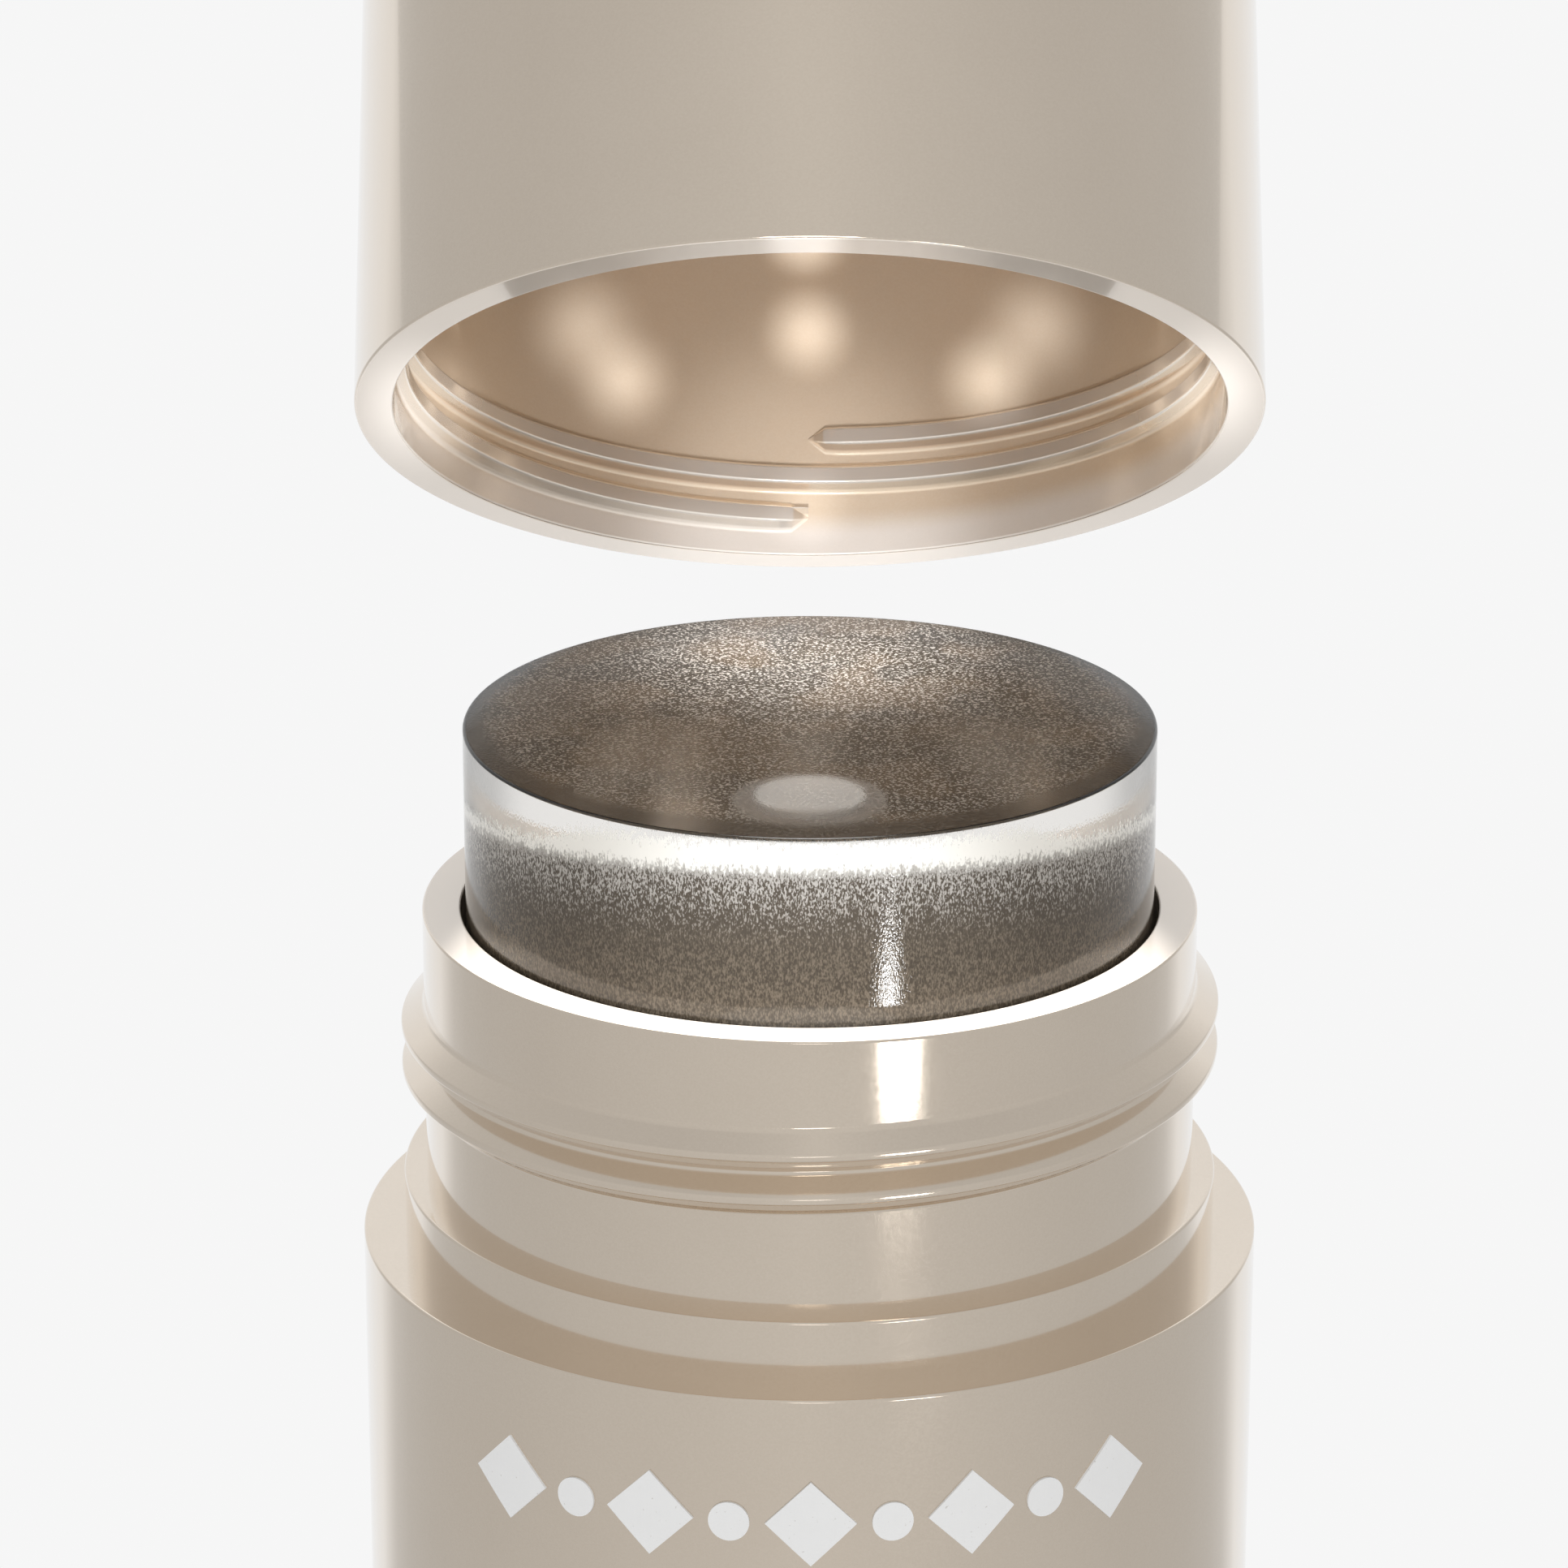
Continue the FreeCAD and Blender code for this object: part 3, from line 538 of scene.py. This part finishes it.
cap = turn_outline((
    (cap_bore, 0.0), (pack_radius, 0.0), (pack_radius, cap_length), (0.0, cap_length),
    (0.0, cap_length - crown_wall), (cap_bore, cap_length - crown_wall),
), {0: edge_round, 1: edge_round, 2: crown_round, 5: crown_round}, tube_steps)
flank = (cap_thread_base - cap_thread_crest) / 2
wind_ridge(cap, (
    (cap_bore + thread_root, cap_thread_start - root_fillet),
    (cap_bore + thread_sink, cap_thread_start - root_fillet),
    (cap_bore, cap_thread_start),
    (cap_bore - cap_thread_height, cap_thread_start + flank),
    (cap_bore - cap_thread_height, cap_thread_start + flank + cap_thread_crest),
    (cap_bore, cap_thread_start + cap_thread_base),
    (cap_bore + thread_sink, cap_thread_start + cap_thread_base + root_fillet),
    (cap_bore + thread_root, cap_thread_start + cap_thread_base + root_fillet),
), {2: cap_root_round, 5: cap_root_round, 3: cap_crest_round, 4: cap_crest_round},
    closure_pitch, closure_turns, thread_steps, cap_run_out)
leaning = Matrix.Rotation(-cap_tilt, 3, "X")
bmesh.ops.rotate(cap, verts=cap.verts[:], cent=(0, 0, 0), matrix=leaning)
bmesh.ops.translate(cap, verts=cap.verts[:], vec=cap_rim)
cap_pearl = pearl_lacquer(
    "pearl champagne lacquer of the cap", cap_bore + lining_depth, cap_rim, cap_tilt)
cap_piece = finish_piece("cap_moulding", cap, cap_pearl, "cap", "pearl_shell", "cap")


# ---- Twist dial ---------------------------------------------------------------------------------
# The outer cup of the dial, which the pack stands on. It turns under the sleeve.

dial_low, dial_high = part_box("dial_shell")
dial_wall = 1.2 * MM
dial_foot_round = 0.6 * MM
dial = turn_outline((
    (0.0, dial_low.z), (pack_radius, dial_low.z), (pack_radius, dial_high.z),
    (pack_radius - dial_wall, dial_high.z), (pack_radius - dial_wall, dial_low.z + dial_wall),
    (0.0, dial_low.z + dial_wall),
), {1: dial_foot_round, 2: edge_round}, tube_steps)
finish_piece("dial_cup", dial, pearl, "dial", "pearl_shell", "dial_shell")


# ---- Studio -------------------------------------------------------------------------------------
# A pale floor and a soft sky, an overhead softbox, softboxes in front, a strip lamp for the long
# glint, and snooted spots for the pools of light in the cap's mouth and on the stick.

scene = bpy.context.scene
scene.view_settings.view_transform = "Standard"
backdrop_white = 0.923
backdrop_colour = (backdrop_white, backdrop_white, backdrop_white, 1.0)
paper_colour = (0.90, 0.90, 0.90, 1.0)
paper_glow_start = 0.05
paper_glow_full = 0.10

bpy.ops.mesh.primitive_circle_add(vertices=96, radius=6.0, fill_type="NGON")
floor = bpy.context.object
floor.name = "floor"


def room_light(sheet, place, widen):
    """Colour of the room by direction: bright paper behind the pack, and flags at its sides. The paper
    reaches widen degrees further round. Each level of grey is given at its angle from the back."""
    x, y = (sheet.node("ShaderNodeSeparateXYZ", None, {0: place}, output=axis) for axis in (0, 1))
    round_share = x.maths("ABSOLUTE").maths("ARCTAN2", y) / math.pi - widen / 180
    levels = ((35, 0.88), (41, 0.75), (46, 0.64), (54, 0.585),
              (66, 0.565), (90, 0.57), (120, 0.61), (174, 0.68))
    stops = tuple((angle / 180, (level,) * 3) for angle, level in levels)
    return sheet.node("ShaderNodeValToRGB", {"stops": stops}, {0: round_share})


made, sheet = new_material("floor paper")
place = sheet.node("ShaderNodeTexCoord", output="Object")
x, y = (sheet.node("ShaderNodeSeparateXYZ", None, {0: place}, output=axis) for axis in (0, 1))
distance = (x * x + y * y).maths("SQRT")
path = sheet.node("ShaderNodeLightPath", output="Is Camera Ray")
glossy = sheet.node("ShaderNodeLightPath", output="Is Glossy Ray")
through = sheet.node("ShaderNodeLightPath", output="Is Transmission Ray")
paper = sheet.node("ShaderNodeBsdfDiffuse", None, {"Color": paper_colour})
mirrored = glossy.maths("MAXIMUM", through)
seen = mirrored.mix(backdrop_colour, room_light(sheet, place, 7.0))
glow = sheet.node("ShaderNodeEmission", None, {"Color": seen, "Strength": 1.0})
share = distance.step(paper_glow_start, paper_glow_full) * path.maths("MAXIMUM", mirrored)
surface = sheet.node("ShaderNodeMixShader", None, {0: share, 1: paper, 2: glow})
floor.data.materials.append(finish_material(made, sheet, surface))

world = bpy.data.worlds.new("soft sky")
scene.world = world
world.use_nodes = True
world.node_tree.nodes.clear()
sheet = Signal(world.node_tree)
sky = room_light(sheet, sheet.node("ShaderNodeTexCoord", output="Generated"), -2.0)
path = sheet.node("ShaderNodeLightPath", output="Is Camera Ray")
seen = path.mix(sky, backdrop_colour)
glow = sheet.node("ShaderNodeBackground", None, {"Color": seen, "Strength": 1.0})
sheet.node("ShaderNodeOutputWorld", None, {"Surface": glow})


def softbox(name, place, aim, width, height, radiance):
    """A rectangular lamp at a place, turned towards a point, as bright as radiance all over."""
    lamp = bpy.data.lights.new(name, "AREA")
    lamp.shape = "RECTANGLE"
    lamp.size = width
    lamp.size_y = height
    lamp.energy = radiance * math.pi * width * height
    holder = bpy.data.objects.new(name, lamp)
    scene.collection.objects.link(holder)
    holder.location = place
    holder.rotation_euler = (Vector(aim) - Vector(place)).to_track_quat("-Z", "Y").to_euler()
    holder.visible_camera = False
    return holder


def receivers(name, lit):
    """Collection of the only pieces that a lamp lights."""
    pieces = bpy.data.collections.new(name + " receivers")
    for piece in lit:
        pieces.objects.link(piece)
    return pieces


strip_x, strip_y, strip_z = 0.0865, -0.187, 0.018
strip = softbox("strip lamp", (strip_x, strip_y, strip_z), (0.0, 0.0, strip_z), 0.038, 0.014, 12.0)
strip.visible_diffuse = False
strip.light_linking.receiver_collection = receivers("strip lamp", [
    piece for piece in bpy.data.objects if piece.type == "MESH" and piece != gel_piece])
softbox("overhead softbox", (0.0, 0.30, 0.50), (0.0, 0.0, 0.09), 0.25, 0.50, 1.0)


def snooted_spot(name, place, aim, reach, soft, strength, lit):
    """A spot lamp that lights one piece, in a pool whose radius at aim is reach. At strength 1, white
    paper held there would just look white."""
    snoot_radius = 0.0016
    away = (Vector(aim) - Vector(place)).length
    lamp = bpy.data.lights.new(name, "SPOT")
    lamp.spot_size = 2 * math.atan(reach / away)
    lamp.spot_blend = soft
    lamp.shadow_soft_size = snoot_radius
    lamp.energy = strength * math.pi * 4 * math.pi * away ** 2
    holder = bpy.data.objects.new(name, lamp)
    scene.collection.objects.link(holder)
    holder.location = place
    holder.rotation_euler = (Vector(aim) - Vector(place)).to_track_quat("-Z", "Y").to_euler()
    holder.visible_camera = False
    holder.visible_glossy = False
    holder.light_linking.receiver_collection = receivers(name, (lit,))
    return holder


snooted_spot("mouth spot", (0.0, -0.30, 0.35), (0.0, -0.016, 0.087), 0.0180, 0.12, 4.5, barrel_piece)

front_place = (0.0, -0.30, 0.135)
front_aim = (0.0, 0.015, 0.105)
for name, width, height, radiance, shows_as_glint, lit in (
        ("front softbox", 0.11, 0.06, 8.0, True, (cap_piece,)),
        ("front fill", 0.11, 0.06, 8.0, False, (gel_piece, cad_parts["print_marks"])),
        ("front glint", 0.05, 0.03, 2.5, True, (barrel_piece, sleeve_piece))):
    front = softbox(name, front_place, front_aim, width, height, radiance)
    front.visible_glossy = shows_as_glint
    front.light_linking.receiver_collection = receivers(name, lit)

tier_foot = 0.0118
tier_height = 0.0016
tier_radiance = 42.0
tier_receivers = receivers("tapered strip", (gel_piece,))
for tier, width in enumerate((0.021, 0.018, 0.014, 0.010, 0.006, 0.003)):
    height = tier_foot + tier_height * tier
    tier_lamp = softbox("tapered strip tier " + str(tier), (strip_x, strip_y, height),
                        (0.0, 0.0, height), width, tier_height, tier_radiance)
    tier_lamp.visible_diffuse = False
    tier_lamp.light_linking.receiver_collection = tier_receivers

stick_ring_radius = 0.2125
stick_ring_height = 0.2615
stick_aim = (0.0, 0.0125, 0.0963)
stick_light = (0.96, 1.0, 1.06)
stick_spots = [("stick front spot", (0.0, -0.45, 0.20), (0.0, -0.017, 0.089), 0.0130, 0.8)]
for turn in (-54, -18, 18, 54):
    away_x = stick_ring_radius * math.sin(math.radians(turn))
    away_y = stick_ring_radius * math.cos(math.radians(turn))
    place = (away_x, stick_aim[1] - away_y, stick_ring_height)
    stick_spots.append(("stick spot " + str(turn), place, stick_aim, 0.0105, 1.15))
for name, place, aim, reach, strength in stick_spots:
    holder = snooted_spot(name, place, aim, reach, 1.0, strength, gel_piece)
    holder.data.color = stick_light

cap_light = (0.95, 1.0, 1.08)
for name, place, aim, reach, strength in (
        ("fill", (0.0, -0.30, 0.125), (0.0, 0.0240, 0.1040), 0.0240, 0.38),
        ("middle", (-0.0006, -0.1146, 0.1476), (0.0, 0.0300, 0.1080), 0.0017, 2.8),
        ("left", (-0.0059, -0.1185, 0.1470), (-0.0097, 0.0257, 0.1065), 0.0021, 2.1),
        ("left streak", (-0.0073, -0.1185, 0.1488), (-0.0118, 0.0261, 0.1092), 0.0026, 1.3),
        ("right", (0.0046, -0.1184, 0.1470), (0.0095, 0.0258, 0.1065), 0.0021, 2.3),
        ("right streak", (0.0063, -0.1187, 0.1488), (0.0120, 0.0259, 0.1093), 0.0026, 1.3),
        ("top", (-0.0007, -0.1128, 0.1491), (-0.00015, 0.0331, 0.1127), 0.0016, 4.2),
        ("skirt", (-0.0006, -0.1192, 0.1439), (0.0, 0.0240, 0.1002), 0.0018, 1.25),
        ("left end", (-0.0112, -0.1323, 0.1502), (-0.01988, 0.01171, 0.10915), 0.0032, 2.8),
        ("right end", (0.0101, -0.1333, 0.1509), (0.02022, 0.01069, 0.1102), 0.0032, 3.0),
        ("upper lip", (0.0, -0.30, 0.115), (0.0, -0.0100, 0.1225), 0.0100, 0.6),
        ("lip", (0.0, -0.30, 0.099), (0.0, 0.0222, 0.0985), 0.0110, 0.9)):
    holder = snooted_spot("cap spot " + name, place, aim, reach, 1.0, strength, cap_piece)
    holder.data.color = cap_light

camera = bpy.data.cameras.new("camera")
camera.lens = 145.94
camera.sensor_width = 36.0
holder = bpy.data.objects.new("camera", camera)
scene.collection.objects.link(holder)
holder.location = (-0.00128, -0.29672, shoulder + 0.12712)
holder.rotation_euler = (math.radians(70.676), 0.0, 0.0)
scene.camera = holder
